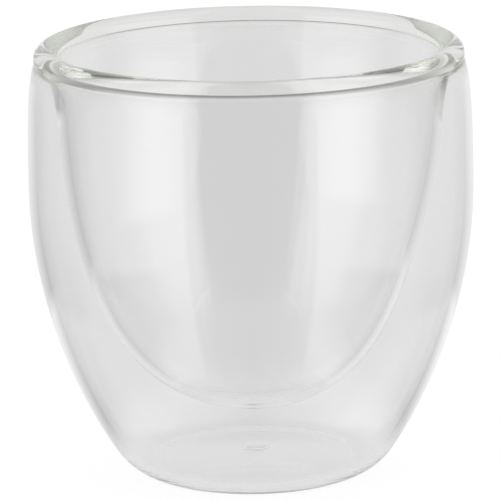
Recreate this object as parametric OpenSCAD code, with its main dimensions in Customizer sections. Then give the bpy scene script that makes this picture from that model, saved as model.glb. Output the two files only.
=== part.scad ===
// Double walled glass cup: a blown bowl hung inside a blown shell, fused together at the rim.
// The two walls meet only under the rim bead, and the air between them is sealed in at the base.
// The cup stands on the XY plane with its axis on Z.

/* [Cup] */
// Height from the table to the top of the rim
cup_h = 63.6; // [58:0.2:70]
// Widest diameter, at the belly
belly_d = 65; // [62:0.5:70]
// Height of the belly above the table
belly_z = 42.4; // [38:0.2:46]
// Outer diameter over the rim bead
rim_d = 62.6; // [59:0.2:65]

/* [Glass] */
// Thickness of the outer wall
shell_t = 1.3; // [0.9:0.05:1.8]
// Thickness of the outer wall at its base
base_t = 1.6; // [1:0.1:2.4]
// Thickness of the inner wall at its side
bowl_t = 1.3; // [0.9:0.05:1.8]
// Thickness of the inner wall at the seam, where it was drawn out
bowl_rim_t = 0.8; // [0.6:0.05:1.2]
// Thickness of the inner wall at its bottom
bowl_bottom_t = 1.7; // [1:0.1:2.4]

/* [Rim] */
// Thickness of the rounded bead, which the outer wall fills up beside the gap and the bowl
bead_d = 3.5; // [3:0.1:4.2]
// Nominal air gap between the two walls where the bead joins them
rim_gap = 0.9; // [0.6:0.05:1.3]
// Height of the rounded top of that gap above the seam
gap_top_h = 0.55; // [0.3:0.05:0.8]
// Height of the straight edge between the rounded bead and the seam
bead_land = 0.2; // [0.1:0.05:0.5]
// Inward lean of the outer wall just under the bead, in degrees from upright
shoulder_lean = 20; // [5:1:28]

/* [Shell] */
// Breadth of the rounded heel, from the standing ring out to the start of the flank
heel_w = 5.25; // [4:0.05:8]
// Height of the start of the flank above the table
heel_z = 3.6; // [3:0.1:5]
// Outward lean of the flank above the heel, in degrees from upright
flank_lean = 33.3; // [28:0.1:38]

/* [Foot] */
// Outer diameter of the flat ring that the cup stands on
ring_d = 31.2; // [28:0.1:33]
// Width of that flat ring
ring_w = 0.8; // [0.6:0.1:2]
// Height by which the underside is pushed up at its middle
punt_h = 1.4; // [1:0.1:2.4]

/* [Bowl] */
// Height of the bowl's underside above the table
bowl_z = 9.6; // [7:0.1:16]
// Air gap between the two walls at the belly
belly_gap = 4.4; // [2:0.1:8]
// Outward lean of the bowl's side at the belly, in degrees from upright
bowl_side_lean = 10.2; // [6:0.1:14]
// Outward lean of the bowl's side at the seam, in degrees from upright
bowl_rim_lean = 4.1; // [1:0.1:6]

/* [Vent] */
// Diameter of the vent hole in the base, and of the glass that seals it
vent_d = 4; // [2.5:0.1:6]
// Rise of the rounded ends of the seal above and below the base
seal_dome = 0.1; // [0.05:0.05:0.4]

/* [Curves] */
// Reach of the heel's curve at either end, as a share of the heel's height
heel_reach_share = 0.59; // [0.45:0.01:0.7]
// Reach of the flank's curve at the heel, as a share of the height from heel to belly
flank_low_share = 0.294; // [0.2:0.001:0.36]
// Reach of the flank's curve at the belly, as a share of the same height
flank_high_share = 0.385; // [0.3:0.001:0.5]
// Reach of the shoulder's curve at the belly, as a share of the height from belly to seam
shoulder_low_share = 0.49; // [0.35:0.01:0.65]
// Reach of the shoulder's curve at the seam, as a share of the same height
shoulder_high_share = 0.16; // [0.1:0.01:0.3]
// Reach of the bowl's curve at its bottom, as a share of the bowl's radius at the belly
bowl_bottom_share = 0.41; // [0.3:0.01:0.55]
// Reach of the bowl's lower curve at the belly, as a share of the height from bottom to belly
bowl_low_share = 0.874; // [0.7:0.001:0.95]
// Reach of the bowl's upper curve at the belly, as a share of the height from belly to seam
bowl_high_share = 0.29; // [0.2:0.01:0.4]
// Reach of the bowl's upper curve at the seam, as a share of the same height
bowl_rim_share = 0.38; // [0.2:0.01:0.5]

/* [Hidden] */
$fn = 128;

// Colour of the glass, a trace of green in clear glass
glass_tint = [0.84, 0.89, 0.86];
glass_alpha = 0.4;

// Steps along each curve, down the bowl's long side, round the bead, and round the small arcs
curve_steps = 20;
side_steps = 40;
bead_steps = 24;
small_steps = 10;
// How quickly a thick base or bottom thins out along its wall
thinning_power = 3;
// How late a wall changes its thickness on the way up to the seam
rim_power = 6;
// How flat the middle of the pushed-up base is, and how steep its edge
punt_power = 4;

belly_r = belly_d / 2;
rim_r = rim_d / 2;
ring_r = ring_d / 2;
ring_in_r = ring_r - ring_w;
heel_r = ring_r + heel_w;
vent_r = vent_d / 2;
bowl_side_r = belly_r - shell_t - belly_gap;

// The bead is a round that spans both walls and the gap between them
bead_r = bead_d / 2;
shell_rim_t = bead_d - rim_gap - bowl_rim_t;
bead_mid_r = rim_r - bead_r;
bead_mid_z = cup_h - bead_r;
// The seam lies below the place where the steeper side leaves the round
seam_z = bead_mid_z - bead_r * sin(max(shoulder_lean, bowl_rim_lean)) - bead_land;

// Half width of the bead at the seam, on a side that leans by this angle
function bead_side(lean) =
    bead_r * cos(lean) + (bead_mid_z - seam_z - bead_r * sin(lean)) * tan(lean);

// The four radii of the seam, from outside to inside
seam_out_r = bead_mid_r + bead_side(shoulder_lean);
shell_mouth_r = seam_out_r - shell_rim_t / cos(shoulder_lean);
seam_in_r = bead_mid_r - bead_side(bowl_rim_lean);
bowl_rim_r = seam_in_r + bowl_rim_t / cos(bowl_rim_lean);

// A point on a curve with four control points, at the share t of its way
function curve_point(p, t) =
    pow(1 - t, 3) * p[0] + 3 * t * pow(1 - t, 2) * p[1]
    + 3 * pow(t, 2) * (1 - t) * p[2] + pow(t, 3) * p[3];

// The direction in which that curve runs there
function curve_slope(p, t) =
    pow(1 - t, 2) * (p[1] - p[0]) + 2 * t * (1 - t) * (p[2] - p[1])
    + pow(t, 2) * (p[3] - p[2]);

// The left of a direction, which is the inner side of a wall whose outline climbs
function left_of(v) = [-v[1], v[0]] / norm(v);

// The share of a change in thickness that is left at the share t of a curve's way
function soon_gone(t) = pow(1 - t, thinning_power);
function late_gone(t) = 1 - pow(t, rim_power);

// The outline of a curve, and the same outline moved to its left by the wall's thickness
function outline(p, steps, first) = [for (i = [first:steps]) curve_point(p, i / steps)];
function inset(p, steps, first, from_t, to_t, late = false) =
    [for (i = [first:steps])
        let (
            t = i / steps,
            depth = to_t + (from_t - to_t) * (late ? late_gone(t) : soon_gone(t))
        )
        curve_point(p, t) + depth * left_of(curve_slope(p, t))];

// What lies below the seam of a list of points, and a list turned round
function below_seam(points) = [for (p = points) if (p[1] < seam_z) p];
function turned(points) = [for (i = [len(points) - 1:-1:0]) points[i]];

// A step away from a point, leaning from upright by an angle
function leaning(lean, reach) = reach * [sin(lean), cos(lean)];

// Outer outline of the shell: heel, flank and shoulder, which meet without a corner
heel_reach = heel_reach_share * heel_z;
heel_curve = [
    [ring_r, 0],
    [ring_r + heel_reach, 0],
    [heel_r, heel_z] - leaning(flank_lean, heel_reach),
    [heel_r, heel_z]
];
flank_h = belly_z - heel_z;
flank_curve = [
    [heel_r, heel_z],
    [heel_r, heel_z] + leaning(flank_lean, flank_low_share * flank_h),
    [belly_r, belly_z - flank_high_share * flank_h],
    [belly_r, belly_z]
];
shoulder_h = seam_z - belly_z;
shoulder_curve = [
    [belly_r, belly_z],
    [belly_r, belly_z + shoulder_low_share * shoulder_h],
    [seam_out_r, seam_z] - leaning(-shoulder_lean, shoulder_high_share * shoulder_h),
    [seam_out_r, seam_z]
];

// Outer outline of the bowl: its round bottom and side, and its upper side inside the shoulder
bottom_h = belly_z - bowl_z;
bottom_curve = [
    [0, bowl_z],
    [bowl_bottom_share * bowl_side_r, bowl_z],
    [bowl_side_r, belly_z] - leaning(bowl_side_lean, bowl_low_share * bottom_h),
    [bowl_side_r, belly_z]
];
side_curve = [
    [bowl_side_r, belly_z],
    [bowl_side_r, belly_z] + leaning(bowl_side_lean, bowl_high_share * shoulder_h),
    [bowl_rim_r, seam_z] - leaning(bowl_rim_lean, bowl_rim_share * shoulder_h),
    [bowl_rim_r, seam_z]
];

// Height of the pushed-up underside at a radius inside the standing ring
function punt(r) = punt_h * (1 - pow(r / ring_in_r, punt_power));
punt_radii = [for (i = [0:curve_steps]) vent_r + (ring_in_r - vent_r) * i / curve_steps];

// Outer shell, with its flat standing ring, pushed-up base and vent hole
module outer_wall() {
    outside = concat(
        outline(heel_curve, curve_steps, 0),
        outline(flank_curve, curve_steps, 1),
        outline(shoulder_curve, curve_steps, 1)
    );
    inside = concat(
        inset(heel_curve, curve_steps, 0, base_t, shell_t),
        inset(flank_curve, curve_steps, 1, shell_t, shell_t),
        inset(shoulder_curve, curve_steps, 1, shell_t, shell_rim_t, late = true)
    );
    underside = [for (r = punt_radii) [r, punt(r)]];
    floor_top = [for (r = punt_radii) [r, punt(r) + base_t]];
    color(glass_tint, glass_alpha)
    rotate_extrude()
    polygon(concat(
        outside,
        [[shell_mouth_r, seam_z]],
        turned(below_seam(inside)),
        turned(floor_top),
        underside
    ));
}

// Inner bowl that holds the drink
module inner_wall() {
    outside = concat(
        outline(bottom_curve, side_steps, 0),
        outline(side_curve, curve_steps, 1)
    );
    inside = concat(
        inset(bottom_curve, side_steps, 0, bowl_bottom_t, bowl_t),
        inset(side_curve, curve_steps, 1, bowl_t, bowl_rim_t, late = true)
    );
    color(glass_tint, glass_alpha)
    rotate_extrude()
    polygon(concat(
        outside,
        [[seam_in_r, seam_z]],
        turned(below_seam(inside))
    ));
}

// Fused bead of the lip, with a land for each wall and the rounded top of the air gap between
module rim_bead() {
    round_sweep = 180 + shoulder_lean + bowl_rim_lean;
    bead_round = [
        for (i = [0:bead_steps])
        let (a = i / bead_steps * round_sweep - shoulder_lean)
        [bead_mid_r + bead_r * cos(a), bead_mid_z + bead_r * sin(a)]
    ];
    gap_mid_r = (shell_mouth_r + bowl_rim_r) / 2;
    gap_half = (shell_mouth_r - bowl_rim_r) / 2;
    gap_round = [
        for (i = [0:small_steps])
        let (a = 180 * (1 - i / small_steps))
        [gap_mid_r + gap_half * cos(a), seam_z + gap_top_h * sin(a)]
    ];
    color(glass_tint, glass_alpha)
    rotate_extrude()
    polygon(concat(
        bead_round,
        [[seam_in_r, seam_z]],
        gap_round,
        [[seam_out_r, seam_z]]
    ));
}

// Button of glass melted into the vent hole, clear of the table
module vent_seal() {
    seal_low_z = punt(vent_r);
    seal_high_z = punt(vent_r) + base_t;
    low_round = [
        for (i = [0:small_steps])
        let (a = 90 * i / small_steps)
        [vent_r * sin(a), seal_low_z - seal_dome * cos(a)]
    ];
    high_round = [
        for (i = [0:small_steps])
        let (a = 90 * (1 - i / small_steps))
        [vent_r * sin(a), seal_high_z + seal_dome * cos(a)]
    ];
    color(glass_tint, glass_alpha)
    rotate_extrude()
    polygon(concat(low_round, high_round));
}

outer_wall();
inner_wall();
rim_bead();
vent_seal();
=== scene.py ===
# %% [markdown]
# # A double walled glass cup
#
# This lesson builds the glass of a double walled cup: an outer shell, an inner bowl that
# hangs in it, the fused bead at the lip that joins them, and the small melted button that
# closes the vent in the base. Glass shows both of its surfaces and all that lies behind
# them, so two things carry the whole picture: exact closed walls, and a studio worth seeing
# through the glass.
#
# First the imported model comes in. It gives the sizes and the place of each piece. All
# lengths are in metres, and the cup stands on the floor at the origin.

import math

import bpy
import numpy as np
from mathutils import Matrix, Vector


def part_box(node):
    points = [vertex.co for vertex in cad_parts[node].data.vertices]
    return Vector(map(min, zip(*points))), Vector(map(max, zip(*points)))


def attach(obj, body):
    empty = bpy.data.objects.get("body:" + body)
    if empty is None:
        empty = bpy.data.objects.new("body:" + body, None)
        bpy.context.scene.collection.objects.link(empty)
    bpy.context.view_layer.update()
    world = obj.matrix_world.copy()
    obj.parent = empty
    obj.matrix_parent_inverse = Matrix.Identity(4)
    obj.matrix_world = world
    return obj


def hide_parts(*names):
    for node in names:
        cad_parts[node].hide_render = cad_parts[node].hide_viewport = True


MM = 1000  # millimetres in a metre

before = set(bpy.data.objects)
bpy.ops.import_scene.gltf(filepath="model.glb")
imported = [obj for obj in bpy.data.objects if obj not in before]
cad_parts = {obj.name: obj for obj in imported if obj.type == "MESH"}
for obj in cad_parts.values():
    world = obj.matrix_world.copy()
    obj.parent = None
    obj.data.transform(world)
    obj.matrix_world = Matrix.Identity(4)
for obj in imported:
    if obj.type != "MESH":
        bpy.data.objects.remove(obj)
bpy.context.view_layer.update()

# %% [markdown]
# ## Sizes
#
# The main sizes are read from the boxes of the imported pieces, so the glass always fits
# them.

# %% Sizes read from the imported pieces
bead_low, bead_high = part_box("rim_bead")
cup_h, rim_r, seam_z = bead_high.z, bead_high.x, bead_low.z
belly_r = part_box("outer_wall")[1].x
bowl_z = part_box("inner_wall")[0].z
vent_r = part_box("vent_seal")[1].x
print(f"height {cup_h:.4f}, belly {2 * belly_r:.4f}, rim {2 * rim_r:.4f} across")

# %% [markdown]
# A box says nothing of a wall's thickness, of the air between the walls, or of how a curve
# swells between its ends. The curves follow the outlines in the photograph. It doesn't show
# the thicknesses. They are guesses, and those under the rim were tuned until its dark lines
# came near to the photograph's.

# %% Sizes that a box doesn't show
# thickness of the shell at its side and base, and of the bowl at its side, bottom and rim
shell_t, base_t = 0.0013, 0.0016
bowl_t, bowl_bottom_t, bowl_rim_t = 0.0013, 0.0017, 0.0008
# the bead, the air gap that it closes, and the height of the gap's rounded top
bead_d, rim_gap, gap_top_h = 0.0035, 0.0009, 0.00055
# the height of the widest place, and the air gap there
belly_z, belly_gap = 0.0424, 0.0044
# the heel, where the base turns up into the flank
heel_w, heel_z = 0.00525, 0.0036
# the standing ring, the rise of the base inside it, and the button's dome
ring_r, ring_w, punt_h = 0.0156, 0.0008, 0.0014
seal_dome = 0.0001
# how far the walls lean from upright where two curves meet
shoulder_lean, flank_lean = math.radians(20), math.radians(33.3)
bowl_side_lean, bowl_rim_lean = math.radians(10.2), math.radians(4.1)
# how far each curve pulls at its lower and upper end, as a share of its height or width
heel_reach, flank_low, flank_high = 0.59, 0.294, 0.385
shoulder_low, shoulder_high = 0.49, 0.16
bowl_bottom, bowl_low_pull, bowl_high_pull, bowl_rim_pull = 0.41, 0.874, 0.29, 0.38
# how soon a base thins, how late a wall changes under the rim, and how flat the base stays
THINNING_POWER, RIM_POWER, PUNT_POWER = 3, 6, 4

bead_r = bead_d / 2
shell_rim_t = bead_d - rim_gap - bowl_rim_t
bead_mid_r = rim_r - bead_r
bead_mid_z = cup_h - bead_r
ring_in_r = ring_r - ring_w
heel_r = ring_r + heel_w
bowl_side_r = belly_r - shell_t - belly_gap


def bead_side(lean):
    """How far the seam's corner lies from the bead's middle, under a side that leans."""
    drop = bead_mid_z - seam_z - bead_r * math.sin(lean)
    return bead_r * math.cos(lean) + drop * math.tan(lean)


seam_out_r = bead_mid_r + bead_side(shoulder_lean)
shell_mouth_r = seam_out_r - shell_rim_t / math.cos(shoulder_lean)
seam_in_r = bead_mid_r - bead_side(bowl_rim_lean)
bowl_rim_r = seam_in_r + bowl_rim_t / math.cos(bowl_rim_lean)
print(f"the air gap is {MM * (shell_mouth_r - bowl_rim_r):.2f} mm wide at the lip")

# %% [markdown]
# ## Outlines of the walls
#
# A blown wall is a skin of nearly even thickness, so only its outside is drawn as curves,
# and the inside is the same curve moved inwards along its own normal. Each curve is one
# cubic, with its handles set by a lean at the seam or the heel. The base of each wall is a
# little thicker and thins quickly up the side. Near the seam the thickness changes once
# more, so that the two walls and the gap between them are as wide as the bead.
#
# Many points are used, because a lens shows every flat facet.

# %% Curves and their insets
HEEL_STEPS, FLANK_STEPS, SHOULDER_STEPS, BOWL_STEPS, BOWL_RIM_STEPS = 18, 76, 60, 110, 56
# inside points closer under the seam than this, or above it, are left out
ROUNDING = 1e-8


def leaning(lean, reach):
    return reach * np.array([math.sin(lean), math.cos(lean)])


def point(radius, height):
    return np.array([radius, height], float)


def along(handles, steps, start=0):
    """(place, direction to the left, share of the way) along a cubic."""
    a, b, c, d = handles
    for i in range(start, steps + 1):
        t = i / steps
        u = 1 - t
        place = u**3 * a + 3 * t * u**2 * b + 3 * t**2 * u * c + t**3 * d
        slope = u**2 * (b - a) + 2 * t * u * (c - b) + t**2 * (d - c)
        slope = slope / np.hypot(*slope)
        yield place, np.array([-slope[1], slope[0]]), t


def soon_gone(t):
    return (1 - t) ** THINNING_POWER


def late_gone(t):
    return 1 - t ** RIM_POWER


def skin(curves):
    """The outside and the inside of a wall. Each curve goes from one thickness to another."""
    outside, inside = [], []
    for i, (handles, steps, first_t, last_t, left) in enumerate(curves):
        for place, inward, t in along(handles, steps, 1 if i else 0):
            inner = place + (last_t + (first_t - last_t) * left(t)) * inward
            outside.append(place)
            if inner[1] < seam_z - ROUNDING:
                inside.append(inner)
    return outside, inside


print("steps up the shell", HEEL_STEPS + FLANK_STEPS + SHOULDER_STEPS,
      "and up the bowl", BOWL_STEPS + BOWL_RIM_STEPS)

# %% [markdown]
# ## Fused joints
#
# In the real cup the pieces are melted together, so light passes from one to the next
# without bending. Here each piece stays a closed mesh of its own. Its faces at a joint are
# marked `fused`, and the glass material takes away the bend there. The bead and the button
# are made half a thousandth of a millimetre shy, so that no two faces share a place.
#
# An outline is a closed list of (place, fused) pairs, and `fused` says what the strip from
# this point to the next one is.

# %% Outlines of the four pieces
SHY = 5e-7
BASE_STEPS, BEAD_STEPS, ROOF_STEPS, SEAL_STEPS = 30, 80, 32, 16


def plain(places):
    return [(place, 0.0) for place in places]


def joined(outline, *corners):
    """The outline and then the corners, with a fused strip between the two."""
    return outline[:-1] + [(outline[-1][0], 1.0)] + plain(corners)


def punt(radius):
    """The height of the underside, which rises from the standing ring to the middle."""
    return punt_h * (1 - (radius / ring_in_r) ** PUNT_POWER)


def outer_wall_outline():
    reach = heel_reach * heel_z
    heel = point(heel_r, heel_z)
    belly, seam = point(belly_r, belly_z), point(seam_out_r, seam_z)
    flank_h, shoulder_h = belly_z - heel_z, seam_z - belly_z
    outside, inside = skin([
        ((point(ring_r, 0), point(ring_r + reach, 0), heel - leaning(flank_lean, reach), heel),
         HEEL_STEPS, base_t, shell_t, soon_gone),
        ((heel, heel + leaning(flank_lean, flank_low * flank_h),
          point(belly_r, belly_z - flank_high * flank_h), belly),
         FLANK_STEPS, shell_t, shell_t, soon_gone),
        ((belly, point(belly_r, belly_z + shoulder_low * shoulder_h),
          seam - leaning(-shoulder_lean, shoulder_high * shoulder_h), seam),
         SHOULDER_STEPS, shell_t, shell_rim_t, late_gone),
    ])
    radii = np.linspace(vent_r, ring_in_r, BASE_STEPS + 1)
    floor = [point(r, punt(r) + base_t) for r in radii]
    outline = joined(plain(outside), point(shell_mouth_r, seam_z))
    outline = joined(outline + plain(inside[::-1] + floor[::-1]), point(vent_r, punt(vent_r)))
    return outline + plain([point(r, punt(r)) for r in radii[1:]] + [point(ring_r, 0)])


def inner_wall_outline():
    middle, seam = point(bowl_side_r, belly_z), point(seam_in_r, seam_z)
    low_h, high_h = belly_z - bowl_z, seam_z - belly_z
    rim = point(bowl_rim_r, seam_z)
    outside, inside = skin([
        ((point(0, bowl_z), point(bowl_bottom * bowl_side_r, bowl_z),
          middle - leaning(bowl_side_lean, bowl_low_pull * low_h), middle),
         BOWL_STEPS, bowl_bottom_t, bowl_t, soon_gone),
        ((middle, middle + leaning(bowl_side_lean, bowl_high_pull * high_h),
          rim - leaning(bowl_rim_lean, bowl_rim_pull * high_h), rim),
         BOWL_RIM_STEPS, bowl_t, bowl_rim_t, late_gone),
    ])
    return joined(plain(outside), seam) + plain(inside[::-1])


def rim_bead_outline():
    foot_z = seam_z + SHY
    turns = np.linspace(-shoulder_lean, math.pi + bowl_rim_lean, BEAD_STEPS + 1)
    round_top = [point(bead_mid_r + bead_r * math.cos(a), bead_mid_z + bead_r * math.sin(a))
                 for a in turns]
    gap_mid, gap_half = (shell_mouth_r + bowl_rim_r) / 2, (shell_mouth_r - bowl_rim_r) / 2
    roof = [point(gap_mid - gap_half * math.cos(a), foot_z + gap_top_h * math.sin(a))
            for a in np.linspace(0, math.pi, ROOF_STEPS + 1)]
    outline = plain([point(seam_out_r, foot_z)] + round_top + [point(seam_in_r, foot_z)])
    return joined(joined(outline, *roof), point(seam_out_r, foot_z))


def vent_seal_outline():
    radius, edge_z = vent_r - SHY, punt(vent_r)
    turns = np.linspace(0, math.pi / 2, SEAL_STEPS + 1)
    under = [point(radius * math.sin(a), edge_z - seal_dome * math.cos(a)) for a in turns]
    over = [point(radius * math.sin(a), edge_z + base_t + seal_dome * math.cos(a))
            for a in turns[::-1]]
    over[-1][0] = 0
    return joined(plain(under), *over)


outlines = {
    "outer_wall": outer_wall_outline(),
    "inner_wall": inner_wall_outline(),
    "rim_bead": rim_bead_outline(),
    "vent_seal": vent_seal_outline(),
}
for name, outline in outlines.items():
    print(name, len(outline), "points,", int(sum(f for _, f in outline)), "fused strips")

# %% [markdown]
# ## One helper for every node tree
#
# The glass, the studio and the lathe are all node trees. One helper adds a node, gives it
# its settings, and fills its inputs: a value is written on the input, and another node's
# output is linked to it.

# %% Adding a node
def grey(level):
    return (level, level, level, 1)


def add(tree, kind, inputs=(), **settings):
    """A new node with its settings, and with its inputs set or linked."""
    node = tree.nodes.new(kind)
    for key, value in settings.items():
        setattr(node, key, value)
    for slot, value in dict(inputs).items():
        if isinstance(value, bpy.types.NodeSocket):
            tree.links.new(value, node.inputs[slot])
        else:
            node.inputs[slot].default_value = value
    return node


WHITE = grey(1)
print("white is", WHITE)

# %% [markdown]
# ## The glass
#
# Clear glass has no colour of its own to speak of. What makes it look like glass is how it
# bends and mirrors, so the shader is a Principled node with full transmission, no
# roughness and glass's own index. Where the walls are fused the index falls to 1, which
# bends nothing. The plain index also stands on the shader's own input, for an export that
# can't follow the link.
#
# Glass is faintly green, which shows only where one looks through a lot of it: along the
# bead, at the sides of the lip. A Volume Absorption node inside gives just that. A blown
# wall is also never quite even. Very shallow upright waves, from a noise that is stretched
# along the height, give the wall its faint streaks.

# %% Glass materials
GLASS_INDEX, FUSED_INDEX = 1.47, 1.0
WALL_TINT, WALL_DENSITY = (0.50, 0.58, 0.36), 1.0
RIM_TINT, RIM_DENSITY = (0.79, 0.92, 0.03), 3.5
WAVE_DEPTH, WAVES_PER_METRE, WAVE_DETAIL, WAVE_STRETCH = 4e-6, 160, 1, 0.06


def glass(name, tint, density, wave_depth=0):
    """Clear glass that is fused where the mesh says so, with a tint in its depth."""
    material = bpy.data.materials.new(name)
    material.use_nodes = True
    tree = material.node_tree
    shader, output = tree.nodes["Principled BSDF"], tree.nodes["Material Output"]
    shader.inputs["Base Color"].default_value = WHITE
    shader.inputs["Roughness"].default_value = 0.0
    shader.inputs["Transmission Weight"].default_value = 1.0
    shader.inputs["IOR"].default_value = GLASS_INDEX

    fused = add(tree, "ShaderNodeAttribute", attribute_name="fused").outputs["Fac"]
    index = add(tree, "ShaderNodeMapRange",
                {"Value": fused, "To Min": GLASS_INDEX, "To Max": FUSED_INDEX})
    tree.links.new(index.outputs["Result"], shader.inputs["IOR"])
    inside = add(tree, "ShaderNodeVolumeAbsorption",
                 {"Color": (*tint, 1), "Density": density})
    tree.links.new(inside.outputs["Volume"], output.inputs["Volume"])

    if wave_depth:
        place = add(tree, "ShaderNodeTexCoord").outputs["Object"]
        stretched = add(tree, "ShaderNodeMapping",
                        {"Vector": place, "Scale": (1, 1, WAVE_STRETCH)}).outputs["Vector"]
        waves = add(tree, "ShaderNodeTexNoise",
                    {"Vector": stretched, "Scale": WAVES_PER_METRE, "Detail": WAVE_DETAIL})
        bump = add(tree, "ShaderNodeBump", {"Height": waves.outputs["Fac"], "Strength": 1.0,
                                            "Distance": wave_depth})
        tree.links.new(bump.outputs["Normal"], shader.inputs["Normal"])
    return material


wall_glass = glass("clear_wall_glass", WALL_TINT, WALL_DENSITY, WAVE_DEPTH)
rim_glass = glass("tinted_rim_glass", RIM_TINT, RIM_DENSITY)
print("glass materials:", wall_glass.name, rim_glass.name)

# %% [markdown]
# ## Turning the outlines
#
# Every piece of the cup is a body of revolution, as on a glass blower's lathe, so one
# Geometry Nodes tree turns them all. It takes a grid with a row for each point of the
# outline and a column for each step of the turn, looks up the outline's point for its row,
# and turns it about the height. Merging closes the seam and the poles, and edges with a
# real corner are kept sharp.
#
# The tree can also let a wall sway to one side, since the bowl in the photograph isn't
# quite straight. The sway is greatest at its own height and dies away above and below it.

# %% The lathe tree
def lathe_tree():
    tree = bpy.data.node_groups.new("Glass lathe", "GeometryNodeTree")
    wanted = [
        ("Outline", "NodeSocketGeometry", None), ("Segments", "NodeSocketInt", 256),
        ("Merge distance", "NodeSocketFloat", 1e-7), ("Corner angle", "NodeSocketFloat", 0.4),
        ("Sway", "NodeSocketFloat", 0.0), ("Sway height", "NodeSocketFloat", 0.028),
        ("Sway reach", "NodeSocketFloat", 0.024), ("Glass", "NodeSocketMaterial", None),
    ]
    for title, kind, value in wanted:
        socket = tree.interface.new_socket(title, in_out="INPUT", socket_type=kind)
        if value is not None:
            socket.default_value = value
    tree.interface.new_socket("Turned", in_out="OUTPUT", socket_type="NodeSocketGeometry")
    given = add(tree, "NodeGroupInput")

    def node(kind, inputs=(), **settings):
        return add(tree, kind, inputs, **settings)

    def maths(operation, *values):
        return node("ShaderNodeMath", enumerate(values), operation=operation).outputs[0]

    def whole(operation, *values):
        return node("FunctionNodeIntegerMath", enumerate(values),
                    operation=operation).outputs[0]

    outline, segments = given.outputs["Outline"], given.outputs["Segments"]
    number = node("GeometryNodeInputIndex").outputs[0]
    count = node("GeometryNodeAttributeDomainSize", {0: outline}).outputs["Point Count"]
    columns = whole("ADD", segments, 1)
    grid = node("GeometryNodeMeshGrid", {"Vertices X": count, "Vertices Y": columns})

    mark = node("GeometryNodeInputNamedAttribute", {"Name": "fused"}, data_type="FLOAT")
    fused = node("GeometryNodeSampleIndex",
                 {"Geometry": outline, "Value": mark.outputs[0],
                  "Index": whole("DIVIDE_FLOOR", number, segments)},
                 data_type="FLOAT", domain="POINT")
    marked = node("GeometryNodeStoreNamedAttribute",
                  {"Geometry": grid.outputs["Mesh"], "Name": "fused",
                   "Value": fused.outputs[0]}, data_type="FLOAT", domain="FACE")

    place = node("GeometryNodeSampleIndex",
                 {"Geometry": outline, "Value": node("GeometryNodeInputPosition").outputs[0],
                  "Index": whole("DIVIDE_FLOOR", number, columns)},
                 data_type="FLOAT_VECTOR", domain="POINT")
    column = whole("MODULO", number, columns)
    angle = maths("MULTIPLY", maths("DIVIDE", column, segments), -2 * math.pi)
    turned = node("ShaderNodeVectorRotate", {"Vector": place.outputs[0], "Angle": angle},
                  rotation_type="Z_AXIS").outputs[0]

    height = node("ShaderNodeSeparateXYZ", {0: turned}).outputs["Z"]
    off = maths("DIVIDE", maths("SUBTRACT", height, given.outputs["Sway height"]),
                given.outputs["Sway reach"])
    hill = maths("MAXIMUM", maths("SUBTRACT", 1.0, maths("MULTIPLY", off, off)), 0.0)
    bell = maths("POWER", hill, 2.0)
    shift = node("ShaderNodeCombineXYZ", {"X": maths("MULTIPLY", bell, given.outputs["Sway"])})
    moved = node("GeometryNodeSetPosition",
                 {"Geometry": marked.outputs[0], "Position": turned,
                  "Offset": shift.outputs[0]})

    closed = node("GeometryNodeMergeByDistance",
                  {"Geometry": moved.outputs[0], "Distance": given.outputs["Merge distance"]})
    smooth = node("GeometryNodeSetShadeSmooth",
                  {"Geometry": closed.outputs[0], "Shade Smooth": True}, domain="FACE")
    corner = maths("GREATER_THAN", node("GeometryNodeInputMeshEdgeAngle").outputs[0],
                   given.outputs["Corner angle"])
    crisp = node("GeometryNodeSetShadeSmooth",
                 {"Geometry": smooth.outputs[0], "Selection": corner, "Shade Smooth": False},
                 domain="EDGE")
    real = node("GeometryNodeRealizeInstances", {"Geometry": crisp.outputs[0]})
    dressed = node("GeometryNodeSetMaterial",
                   {"Geometry": real.outputs[0], "Material": given.outputs["Glass"]})
    node("NodeGroupOutput", {"Turned": dressed.outputs[0]})
    return tree


lathe = lathe_tree()
print("the lathe has", len(lathe.nodes), "nodes")

# %% [markdown]
# ## Making the pieces
#
# Each outline becomes a mesh of points and edges, the lathe turns it, and the result is
# kept as a plain mesh. The volume of the mesh is a good test: it is positive when the faces
# point outwards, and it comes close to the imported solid's when nothing is missing.

# %% Turn the four pieces
BOWL_SWAY = -0.0007
SEAL_SEGMENTS = 96


def outline_object(name, outline):
    mesh = bpy.data.meshes.new(name + "_outline")
    mesh.from_pydata([(r, 0, z) for (r, z), _ in outline],
                     [(i, i + 1) for i in range(len(outline) - 1)], [])
    mark = mesh.attributes.new("fused", "FLOAT", "POINT")
    mark.data.foreach_set("value", [fused for _, fused in outline])
    shape = bpy.data.objects.new(name + "_outline", mesh)
    bpy.context.scene.collection.objects.link(shape)
    return shape


def turned_piece(name, outline, material, inputs):
    """The outline turned by the lathe, as a plain mesh with no modifier left on it."""
    shape = outline_object(name, outline)
    modifier = shape.modifiers.new("Lathe", "NODES")
    modifier.node_group = lathe
    sockets = {s.name: s.identifier for s in lathe.interface.items_tree
               if s.in_out == "INPUT"}
    for title, value in {"Glass": material, **inputs}.items():
        modifier[sockets[title]] = value
    seen = shape.evaluated_get(bpy.context.evaluated_depsgraph_get())
    mesh = bpy.data.meshes.new_from_object(seen)
    mesh.name = name
    bpy.data.objects.remove(shape)
    piece = bpy.data.objects.new(name, mesh)
    bpy.context.scene.collection.objects.link(piece)
    return piece


def volume(mesh):
    mesh.calc_loop_triangles()
    corners = np.array([mesh.vertices[i].co for t in mesh.loop_triangles for i in t.vertices])
    a, b, c = corners.reshape(-1, 3, 3).transpose(1, 0, 2)
    return float((a * np.cross(b, c)).sum() / 6)


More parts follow.
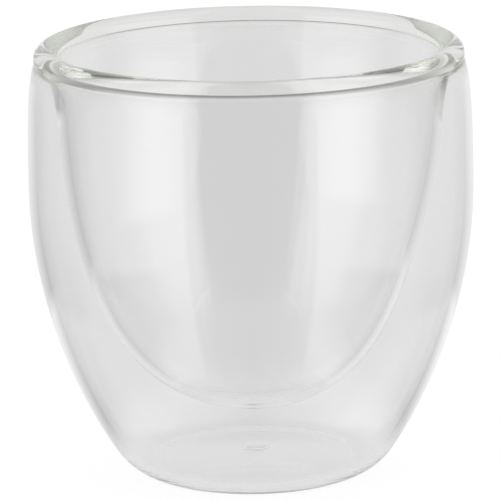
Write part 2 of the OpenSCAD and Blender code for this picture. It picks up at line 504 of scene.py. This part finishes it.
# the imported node: its piece here, its glass, its material slot, and inputs of the lathe
pieces = {
    "outer_wall": ("glass_outer_wall", wall_glass, "wall_glass", {}),
    "inner_wall": ("glass_inner_wall", wall_glass, "wall_glass", {"Sway": BOWL_SWAY}),
    "rim_bead": ("glass_rim_bead", rim_glass, "rim_glass", {}),
    "vent_seal": ("glass_vent_seal", wall_glass, "wall_glass", {"Segments": SEAL_SEGMENTS}),
}
for node_name, (name, material, slot, inputs) in pieces.items():
    piece = turned_piece(name, outlines[node_name], material, inputs)
    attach(piece, "root")
    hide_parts(node_name)
    print(name, len(piece.data.loop_triangles), "triangles,",
          f"{MM ** 3 * volume(piece.data):.1f} mm3")

# %% [markdown]
# ## Studio
#
# Glass is lit by what surrounds it. Round this cup stands a ring of light: two wide soft
# boxes in front at the left and the right, darkness between them, where the photographer
# stands, a darker gap at each side, and white paper behind. The boxes give the two pale
# bands on the front of the glass, and the dark between them gives the grey band in the
# middle. Its edges are crisp, because the edge of a light box is crisp.
#
# The ring is a colour ramp over the compass angle. The sky uses it by direction. The paper
# on the floor uses it by place, as painted light: a glow that stands in for the pools of
# light from the same boxes. Near the cup the paper has a painted ring of its own: there the
# painted pools of light end, and that makes the pale bands fade out where the bowl curves
# under. The levels were found by trial, until the greys in the glass came near to the
# photograph's.

# %% The ring of light
BRIGHTEST = 1.3
# compass angle from the front in degrees, and how bright the studio is there
RIGHT_SIDE = [(34.2, 0.19), (34.6, 0.98), (45, 1.12), (52, 1.21), (62, 1.19), (78, 0.99),
              (87, 0.74), (94, 0.45), (101, 0.34), (116, 0.44), (136, 0.56), (154, 0.79),
              (165, 0.84)]
LEFT_SIDE = [(34.2, 0.19), (34.6, 0.93), (45, 1.06), (52, 1.16), (62, 1.12), (78, 0.97),
             (87, 0.81), (94, 0.51), (101, 0.26), (116, 0.34), (136, 0.48), (154, 0.73),
             (165, 0.82)]
BEHIND = 0.74
# the same, but painted on the paper near the cup, where the painted pools of light end
NEAR_RIGHT = [(34.2, 0.23), (34.6, 1.08), (45, 1.04), (52, 0.80), (62, 0.50), (80, 0.32),
              (112, 0.32), (132, 0.60), (147, 0.91), (158, 0.90), (166, 0.80)]
NEAR_LEFT = [(34.2, 0.23), (34.6, 1.06), (45, 1.00), (52, 0.76), (62, 0.48), (80, 0.32),
             (112, 0.32), (132, 0.58), (147, 0.86), (158, 0.85), (166, 0.79)]
NEAR_BEHIND = 0.725


def ring_group(title, right_side, left_side, behind):
    """A node group: how bright the studio is towards a vector, whatever its length."""
    tree = bpy.data.node_groups.new(title, "ShaderNodeTree")
    tree.interface.new_socket("Vector", in_out="INPUT", socket_type="NodeSocketVector")
    tree.interface.new_socket("Level", in_out="OUTPUT", socket_type="NodeSocketFloat")
    given = add(tree, "NodeGroupInput")
    parts = add(tree, "ShaderNodeSeparateXYZ", {0: given.outputs["Vector"]})
    front = add(tree, "ShaderNodeMath", {0: parts.outputs["Y"], 1: -1}, operation="MULTIPLY")
    angle = add(tree, "ShaderNodeMath", {0: parts.outputs["X"], 1: front.outputs[0]},
                operation="ARCTAN2")
    share = add(tree, "ShaderNodeMapRange",
                {"Value": angle.outputs[0], "From Min": -math.pi, "From Max": math.pi})
    ramp = add(tree, "ShaderNodeValToRGB", {"Fac": share.outputs[0]})
    bright = add(tree, "ShaderNodeMath", {0: ramp.outputs["Color"], 1: BRIGHTEST},
                 operation="MULTIPLY")
    add(tree, "NodeGroupOutput", {"Level": bright.outputs[0]})

    levels = [(-degrees, level) for degrees, level in left_side[::-1]] + right_side
    levels = [(-180, behind)] + levels + [(180, behind)]
    stops = ramp.color_ramp.elements
    while len(stops) < len(levels):
        stops.new(0.5)
    for stop, (degrees, level) in zip(stops, levels):
        stop.position = 0.5 + degrees / 360
        stop.color = grey(level / BRIGHTEST)
    print(title, "has", len(stops), "stops")
    return tree


ring = ring_group("Ring of light", RIGHT_SIDE, LEFT_SIDE, BEHIND)
painted_near_ring = ring_group("Painted light near the cup", NEAR_RIGHT, NEAR_LEFT, NEAR_BEHIND)

# %% [markdown]
# ## Floor and backdrop
#
# The camera sees plain white paper all round. The glass sees painted light on the paper: a
# glow that is brighter towards the boxes and darker behind, because in the photograph the
# paper behind the cup shows grey through the glass. Light Path tells the two apart.

# %% Blends of light
def blended(tree, first, last, share, start, end):
    """A level that goes from first to last while the share goes from start to end."""
    return add(tree, "ShaderNodeMapRange",
               {"Value": share, "From Min": start, "From Max": end,
                "To Min": first, "To Max": last},
               interpolation_type="SMOOTHSTEP").outputs["Result"]


def shown(tree, level, to_camera):
    """The level for every ray, but to_camera for the rays that come from the camera."""
    camera_ray = add(tree, "ShaderNodeLightPath").outputs["Is Camera Ray"]
    return blended(tree, level, to_camera, camera_ray, 0.0, 1.0)


# %% [markdown]
# From the cup outwards the paper's glow holds painted light in three zones: painted shade
# under the cup, the painted near ring, and the ring of light itself, painted on by place.
# The centre of the rings lies a little in front of the cup's middle. A part of the floor's
# white is a matt surface, so the cup still throws its faint shadow.

# %% Floor
FLOOR_HALF, FLOOR_DROP = 4.0, 2e-5
# how much of the paper's white is matt, and how much light that matt part gives back
MATT_SHARE, MATT_LIGHT = 0.25, 0.078
RING_CENTRE_Y = -0.018
# painted shade under the cup: its level under the front and the deeper one under the back, and
# how far back it changes
PAINTED_SHADE_FRONT, PAINTED_SHADE_BACK = 0.78, 0.64
FRONT_END, BACK_START = 0.004, 0.014
# distances from the rings' centre between which a zone turns into the next one
UNDER_END, NEAR_FULL = 0.024, 0.040
NEAR_END, FAR_START = 0.095, 0.110


def paper_with_painted_light():
    material = bpy.data.materials.new("paper")
    material.use_nodes = True
    material.cycles.emission_sampling = "NONE"
    tree = material.node_tree
    tree.nodes.clear()
    place = add(tree, "ShaderNodeTexCoord").outputs["Object"]
    from_centre = add(tree, "ShaderNodeVectorMath", {0: place, 1: (0, RING_CENTRE_Y, 0)},
                      operation="SUBTRACT").outputs[0]
    distance = add(tree, "ShaderNodeVectorMath", {0: from_centre},
                   operation="LENGTH").outputs["Value"]
    # the painted light of both rings, looked up by place on the paper
    painted_far_level, painted_near_level = (
        add(tree, "ShaderNodeGroup", {0: from_centre}, node_tree=group).outputs[0]
        for group in (ring, painted_near_ring))
    depth = add(tree, "ShaderNodeSeparateXYZ", {0: place}).outputs["Y"]
    # painted shade under the cup, deeper under its back
    under = blended(tree, PAINTED_SHADE_FRONT, PAINTED_SHADE_BACK, depth, FRONT_END, BACK_START)
    # around the cup, the painted near ring takes over
    near = blended(tree, under, painted_near_level, distance, UNDER_END, NEAR_FULL)
    # farther out, the painted pools of light from the boxes
    painted_light = blended(tree, near, painted_far_level, distance, NEAR_END, FAR_START)
    # the paper's glow carries this painted light, less what the matt part gives back; the
    # camera sees even white
    own = add(tree, "ShaderNodeMath", {0: painted_light, 1: MATT_LIGHT}, operation="SUBTRACT")
    glow = add(tree, "ShaderNodeEmission",
               {"Strength": shown(tree, own.outputs[0], 1.0 - MATT_LIGHT)})
    matt = add(tree, "ShaderNodeBsdfDiffuse", {"Color": grey(MATT_SHARE)})
    both = add(tree, "ShaderNodeAddShader", {0: glow.outputs[0], 1: matt.outputs[0]})
    add(tree, "ShaderNodeOutputMaterial", {"Surface": both.outputs[0]})
    return material


floor_mesh = bpy.data.meshes.new("floor")
floor_mesh.from_pydata([(x * FLOOR_HALF, y * FLOOR_HALF, -FLOOR_DROP)
                        for x, y in ((-1, -1), (1, -1), (1, 1), (-1, 1))], [], [(0, 1, 2, 3)])
floor_mesh.materials.append(paper_with_painted_light())
floor = bpy.data.objects.new("floor", floor_mesh)
bpy.context.scene.collection.objects.link(floor)
print("the floor is", 2 * FLOOR_HALF, "m wide")

# %% [markdown]
# The sky is the same ring, looked up by direction. Above the boxes it fades into the dark
# ceiling.

# %% Sky
OVERHEAD = 0.30
SKY_LOW, SKY_HIGH = math.radians(15), math.radians(60)

world = bpy.data.worlds.new("studio")
bpy.context.scene.world = world
world.use_nodes = True
sky = world.node_tree
direction = add(sky, "ShaderNodeTexCoord").outputs["Generated"]
around = add(sky, "ShaderNodeGroup", {0: direction}, node_tree=ring).outputs[0]
height = add(sky, "ShaderNodeSeparateXYZ", {0: direction}).outputs["Z"]
glow = blended(sky, around, OVERHEAD, height, math.sin(SKY_LOW), math.sin(SKY_HIGH))
sky.links.new(shown(sky, glow, 1.0), sky.nodes["Background"].inputs["Strength"])
sky.nodes["Background"].inputs["Color"].default_value = WHITE
print("the sky has", len(sky.nodes), "nodes")

# %% [markdown]
# ## Camera
#
# The camera was fitted to the cup's outline and rim in the photograph. It stands a good half
# metre away with a long lens, and looks down by about 14 degrees.

# %% Camera
LENS_MM, SENSOR_MM, CLIP_START = 282.4, 36, 0.01
eye, target = Vector((0, -0.56, 0.1688)), Vector((-0.00033, 0, 0.0325))
roll = math.radians(-1.015)

camera = bpy.data.objects.new("camera", bpy.data.cameras.new("camera"))
bpy.context.scene.collection.objects.link(camera)
camera.data.sensor_width = SENSOR_MM
camera.data.lens = LENS_MM
camera.data.clip_start = CLIP_START
camera.location = eye
aim = (target - eye).to_track_quat("-Z", "Y").to_matrix()
camera.rotation_euler = (aim @ Matrix.Rotation(roll, 3, "Z")).to_euler()
bpy.context.scene.camera = camera
down = math.degrees(math.atan2(eye.z - target.z, -eye.y))
print(f"lens {LENS_MM} mm, looking down by {down:.1f} degrees")

# %% [markdown]
# ## Picture settings
#
# Colours are shown as they are, without a film look. Light that is caught in the bead or in
# the foot of the cup is mirrored to and fro many times before it gets out, and each ray
# that is given up too soon leaves a black spot. So the glass gets bounces to spare, which
# costs little, because few rays need them.

# %% Picture settings
BOUNCES = 256
scene = bpy.context.scene
scene.view_settings.view_transform = "Standard"
scene.cycles.max_bounces = BOUNCES
scene.cycles.transmission_bounces = BOUNCES
scene.cycles.glossy_bounces = BOUNCES
print("up to", scene.cycles.max_bounces, "bounces")
